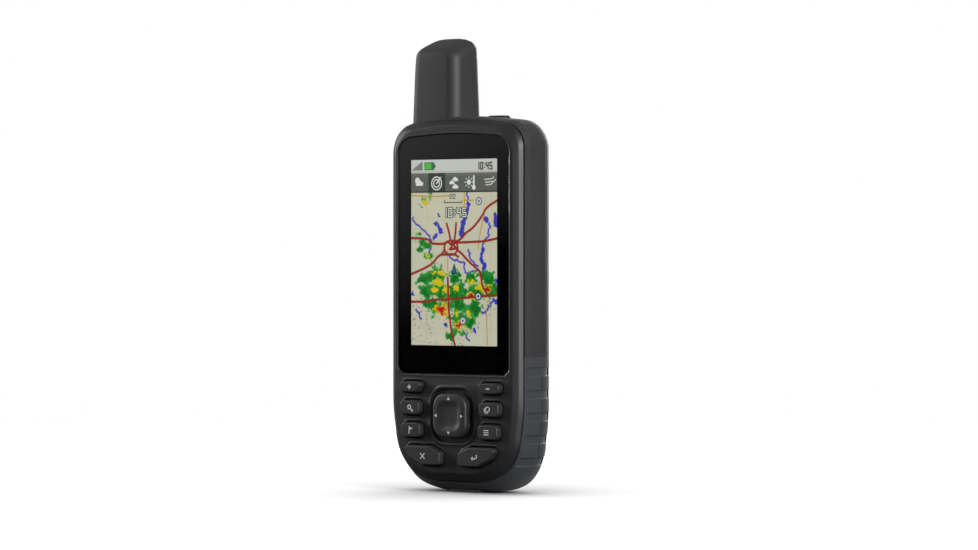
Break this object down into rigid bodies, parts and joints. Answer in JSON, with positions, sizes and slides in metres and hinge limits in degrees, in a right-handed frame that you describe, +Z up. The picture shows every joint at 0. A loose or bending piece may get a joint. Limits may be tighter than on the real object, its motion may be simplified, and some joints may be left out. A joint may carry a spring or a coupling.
{
  "type": "handheld gps unit",
  "caption": "Handheld satellite navigator with stub antenna, upright display, raised keys around a rocker, rubber grip sides, and a locked battery door.",
  "frame": {"origin": "middle of the footprint, on the surface the unit stands on", "axes": "+X to the right of someone reading the display, +Y from the display to the back, +Z up to the antenna"},
  "size_m": [0.0622, 0.035, 0.1637],
  "materials": {
    "case_plastic": "fine spark texture",
    "bezel_plastic": "satin",
    "grip_rubber": "matt overmould",
    "seal_rubber": "matt",
    "glass": "polished, dark border",
    "adhesive": "foam tape",
    "display": "lit picture",
    "display_metal": "plain",
    "flex_film": "polyimide film",
    "key_plastic": "satin, pale printed marks",
    "silicone": "matt",
    "dome_film": "satin film",
    "board": "solder mask",
    "can_metal": "tinned",
    "chip": "moulded",
    "buzzer_plastic": "moulded",
    "nickel": "nickel plated",
    "steel": "stainless",
    "screw_steel": "black zinc",
    "brass": "gold plated",
    "cell_wrap": "printed sleeve",
    "ceramic": "unglazed with copper tracks",
    "cable": "coaxial jacket",
    "card_plastic": "moulded"
  },
  "bodies": {
    "case": {"front_case": "bezel_plastic", "side_band": "case_plastic", "rear_case": "case_plastic", "case_seal": "seal_rubber", "grip_rubber": "grip_rubber", "antenna_cover": "case_plastic", "antenna_core": "ceramic", "antenna_lead": "cable", "display_glass": "glass", "glass_adhesive": "adhesive", "display_panel": "display", "display_frame": "display_metal", "display_flex": "flex_film", "keypad_mat": "silicone", "dome_sheet": "dome_film", "power_switch": "nickel", "main_board": "board", "shield_can": "can_metal", "board_chips": "chip", "buzzer": "buzzer_plastic", "backup_cell": "nickel", "pressure_sensor": "can_metal", "card_socket": "steel", "memory_card": "card_plastic", "usb_socket": "nickel", "antenna_jack": "brass", "cell_left": "cell_wrap", "cell_right": "cell_wrap", "contact_springs": "nickel", "contact_plates": "nickel", "battery_tray": "bezel_plastic", "mounting_spine": "bezel_plastic", "spine_screws": "screw_steel", "case_screws": "screw_steel"},
    "zoom_in_key": {"zoom_in_key": "key_plastic"},
    "zoom_out_key": {"zoom_out_key": "key_plastic"},
    "find_key": {"find_key": "key_plastic"},
    "page_key": {"page_key": "key_plastic"},
    "mark_key": {"mark_key": "key_plastic"},
    "menu_key": {"menu_key": "key_plastic"},
    "quit_key": {"quit_key": "key_plastic"},
    "enter_key": {"enter_key": "key_plastic"},
    "rocker_pivot": {"rocker_pivot": "steel"},
    "rocker_pad": {"rocker_pad": "key_plastic"},
    "power_key": {"power_key": "seal_rubber"},
    "battery_door": {"battery_door": "case_plastic", "door_seal": "seal_rubber"},
    "lock_cam": {"lock_cam": "steel", "cam_seal": "seal_rubber"},
    "d_ring": {"d_ring": "steel"},
    "usb_cap": {"usb_cap": "seal_rubber"},
    "jack_cap": {"jack_cap": "seal_rubber"}
  },
  "joints": [
    {"name": "zoom_in_key_press", "type": "slide", "parent": "case", "child": "zoom_in_key", "axis": [0, 1, 0], "range_m": [0, 0.0007], "stiffness_N_per_m": 1500},
    {"name": "zoom_out_key_press", "type": "slide", "parent": "case", "child": "zoom_out_key", "axis": [0, 1, 0], "range_m": [0, 0.0007], "stiffness_N_per_m": 1500},
    {"name": "find_key_press", "type": "slide", "parent": "case", "child": "find_key", "axis": [0, 1, 0], "range_m": [0, 0.0007], "stiffness_N_per_m": 1500},
    {"name": "page_key_press", "type": "slide", "parent": "case", "child": "page_key", "axis": [0, 1, 0], "range_m": [0, 0.0007], "stiffness_N_per_m": 1500},
    {"name": "mark_key_press", "type": "slide", "parent": "case", "child": "mark_key", "axis": [0, 1, 0], "range_m": [0, 0.0007], "stiffness_N_per_m": 1500},
    {"name": "menu_key_press", "type": "slide", "parent": "case", "child": "menu_key", "axis": [0, 1, 0], "range_m": [0, 0.0007], "stiffness_N_per_m": 1500},
    {"name": "quit_key_press", "type": "slide", "parent": "case", "child": "quit_key", "axis": [0, 1, 0], "range_m": [0, 0.0007], "stiffness_N_per_m": 1500},
    {"name": "enter_key_press", "type": "slide", "parent": "case", "child": "enter_key", "axis": [0, 1, 0], "range_m": [0, 0.0007], "stiffness_N_per_m": 1500},
    {"name": "rocker_up_down", "type": "hinge", "parent": "case", "child": "rocker_pivot", "pos_m": [0, -0.013, 0.0277], "axis": [1, 0, 0], "range_deg": [-2.5, 2.5], "stiffness_Nm_per_rad": 0.2},
    {"name": "rocker_left_right", "type": "hinge", "parent": "rocker_pivot", "child": "rocker_pad", "pos_m": [0, -0.013, 0.0277], "axis": [0, 0, 1], "range_deg": [-2.5, 2.5], "stiffness_Nm_per_rad": 0.2},
    {"name": "power_key_press", "type": "slide", "parent": "case", "child": "power_key", "axis": [0, 0, -1], "range_m": [0, 0.0006], "stiffness_N_per_m": 1500},
    {"name": "battery_door_lift", "type": "hinge", "parent": "case", "child": "battery_door", "pos_m": [0, 0.01113, 0.0696], "axis": [1, 0, 0], "range_deg": [0, 100]},
    {"name": "lock_turn", "type": "hinge", "parent": "battery_door", "child": "lock_cam", "pos_m": [0, 0.01113, 0.0215], "axis": [0, 1, 0], "range_deg": [0, 90]},
    {"name": "d_ring_fold", "type": "hinge", "parent": "lock_cam", "child": "d_ring", "pos_m": [0, 0.01288, 0.0215], "axis": [1, 0, 0], "range_deg": [0, 175]},
    {"name": "usb_cap_open", "type": "hinge", "parent": "case", "child": "usb_cap", "pos_m": [0.0081, 0.01113, 0.1186], "axis": [1, 0, 0], "range_deg": [0, 110]},
    {"name": "jack_cap_open", "type": "hinge", "parent": "case", "child": "jack_cap", "pos_m": [-0.0081, 0.01113, 0.1186], "axis": [1, 0, 0], "range_deg": [0, 110]}
  ]
}
